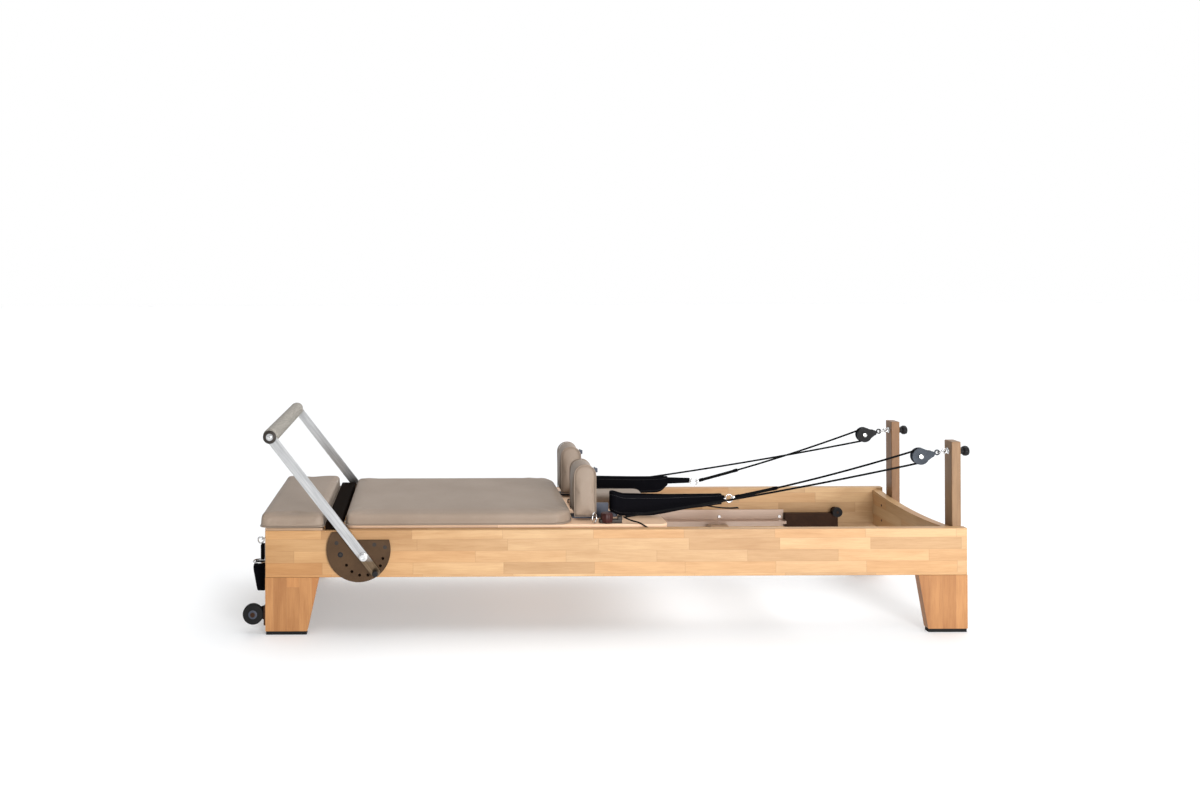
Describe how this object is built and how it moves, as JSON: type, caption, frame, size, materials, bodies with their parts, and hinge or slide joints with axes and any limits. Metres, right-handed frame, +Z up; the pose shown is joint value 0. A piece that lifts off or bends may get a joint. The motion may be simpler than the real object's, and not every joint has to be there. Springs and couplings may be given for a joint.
{
  "type": "pilates reformer",
  "caption": "Low wooden exercise frame with a sprung padded carriage on wheels, shoulder and head rests, tilting footbar, riser pulleys, ropes and padded straps.",
  "frame": {"origin": "on the floor, under the centre of the frame", "axes": "+X along the frame to the head end with the riser posts, +Y across it, +Z up"},
  "size_m": [2.539, 0.744, 0.7045],
  "materials": {
    "rail_wood": "satin clear lacquer on finger-jointed light hardwood",
    "leg_wood": "satin clear lacquer, grain upright",
    "board_wood": "sealed plywood",
    "upholstery": "matte taupe leatherette over foam",
    "brushed_steel": "brushed",
    "bright_steel": "bright zinc plate",
    "dark_steel": "dark grey powder coat",
    "bronze_paint": "bronze brown powder coat",
    "stop_paint": "dark brown powder coat",
    "track_aluminium": "clear anodised",
    "black_plastic": "moulded, matte",
    "black_rubber": "moulded rubber",
    "grip_foam": "grey-beige textured foam sleeve",
    "rope": "black braided cord",
    "strap": "black padded webbing"
  },
  "bodies": {
    "frame": {"side_rail_near": "rail_wood", "side_rail_far": "rail_wood", "head_board": "rail_wood", "foot_board": "rail_wood", "cross_members": "board_wood", "leg_head_near": "leg_wood", "leg_head_far": "leg_wood", "leg_foot_near": "leg_wood", "leg_foot_far": "leg_wood", "foot_glides": "black_rubber", "frame_bolts": "bright_steel", "carriage_tracks": "track_aluminium", "track_screws": "bright_steel", "carriage_stops": "stop_paint", "platform_board": "board_wood", "platform_pad": "upholstery", "footbar_plate_near": "bronze_paint", "footbar_plate_far": "bronze_paint", "footbar_pivot_bolts": "bright_steel", "spring_bar": "dark_steel", "springs": "bright_steel", "riser_near": "leg_wood", "riser_far": "leg_wood", "riser_eye_bolts": "bright_steel", "pulley_block_near": "black_plastic", "pulley_block_far": "black_plastic", "transport_brackets": "dark_steel", "foot_strap_hooks": "bright_steel", "foot_straps": "strap", "rope_near": "rope", "rope_far": "rope"},
    "stop_knobs": {"stop_knobs": "black_plastic"},
    "riser_knob_near": {"riser_knob_near": "black_plastic"},
    "riser_knob_far": {"riser_knob_far": "black_plastic"},
    "sheave_near": {"sheave_near": "black_plastic"},
    "sheave_far": {"sheave_far": "black_plastic"},
    "transport_wheel_near": {"transport_wheel_near": "black_rubber"},
    "transport_wheel_far": {"transport_wheel_far": "black_rubber"},
    "carriage": {"carriage_base": "board_wood", "carriage_pad": "upholstery", "wheel_brackets": "dark_steel", "shoulder_rest_near": "upholstery", "shoulder_rest_far": "upholstery", "rest_brackets": "dark_steel", "headrest_hinge": "dark_steel", "rope_cleats": "dark_steel", "strap_near": "strap", "strap_far": "strap", "strap_carabiners": "bright_steel", "spring_hook_bar": "dark_steel"},
    "headrest": {"headrest_board": "board_wood", "headrest_pad": "upholstery"},
    "carriage_wheels_head": {"carriage_wheels_head": "black_plastic"},
    "carriage_wheels_foot": {"carriage_wheels_foot": "black_plastic"},
    "footbar": {"footbar_arm_near": "brushed_steel", "footbar_arm_far": "brushed_steel", "footbar_tube": "brushed_steel", "footbar_grip": "grip_foam"},
    "lock_pin_near": {"lock_pin_near": "black_plastic"},
    "lock_pin_far": {"lock_pin_far": "black_plastic"}
  },
  "joints": [
    {"name": "carriage_slide", "type": "slide", "parent": "frame", "child": "carriage", "axis": [1, 0, 0], "range_m": [0, 0.6], "stiffness_N_per_m": 500, "springref_m": -0.03, "deforming": ["springs", "rope_near", "rope_far"]},
    {"name": "wheels_head_roll", "type": "hinge", "parent": "carriage", "child": "carriage_wheels_head", "pos_m": [0.15, 0, 0.2513], "axis": [0, 1, 0], "range_deg": [-60, 1620]},
    {"name": "wheels_foot_roll", "type": "hinge", "parent": "carriage", "child": "carriage_wheels_foot", "pos_m": [-0.86, 0, 0.2513], "axis": [0, 1, 0], "range_deg": [-60, 1620]},
    {"name": "headrest_tilt", "type": "hinge", "parent": "carriage", "child": "headrest", "pos_m": [-0.11, 0, 0.369], "axis": [0, -1, 0], "range_deg": [0, 35]},
    {"name": "footbar_tilt", "type": "hinge", "parent": "frame", "child": "footbar", "pos_m": [-0.863, 0, 0.27], "axis": [0, 1, 0], "range_deg": [-45, 100]},
    {"name": "lock_pin_near_slide", "type": "slide", "parent": "footbar", "child": "lock_pin_near", "axis": [0, -1, 0], "range_m": [-0.007, 0.006]},
    {"name": "lock_pin_far_slide", "type": "slide", "parent": "footbar", "child": "lock_pin_far", "axis": [0, 1, 0], "range_m": [-0.007, 0.006]},
    {"name": "stop_knobs_turn", "type": "hinge", "parent": "frame", "child": "stop_knobs", "pos_m": [1.003, 0, 0.262], "axis": [0, 1, 0], "continuous": true},
    {"name": "riser_knob_near_turn", "type": "hinge", "parent": "frame", "child": "riser_knob_near", "pos_m": [1.25, -0.225, 0.6], "axis": [1, 0, 0], "continuous": true},
    {"name": "sheave_near_spin", "type": "hinge", "parent": "frame", "child": "sheave_near", "pos_m": [1.09, -0.225, 0.582], "axis": [0.0209, 0.9998, 0], "continuous": true},
    {"name": "transport_wheel_near_roll", "type": "hinge", "parent": "frame", "child": "transport_wheel_near", "pos_m": [-1.244, -0.315, 0.067], "axis": [0, 1, 0], "continuous": true},
    {"name": "riser_knob_far_turn", "type": "hinge", "parent": "frame", "child": "riser_knob_far", "pos_m": [1.25, 0.225, 0.6], "axis": [1, 0, 0], "continuous": true},
    {"name": "sheave_far_spin", "type": "hinge", "parent": "frame", "child": "sheave_far", "pos_m": [1.09, 0.225, 0.582], "axis": [-0.0209, 0.9998, 0], "continuous": true},
    {"name": "transport_wheel_far_roll", "type": "hinge", "parent": "frame", "child": "transport_wheel_far", "pos_m": [-1.244, 0.315, 0.067], "axis": [0, 1, 0], "continuous": true}
  ],
  "couplings": [
    {"joint": "wheels_head_roll", "follows": "carriage_slide", "rad_per_m": 45.455},
    {"joint": "wheels_foot_roll", "follows": "carriage_slide", "rad_per_m": 45.455}
  ]
}
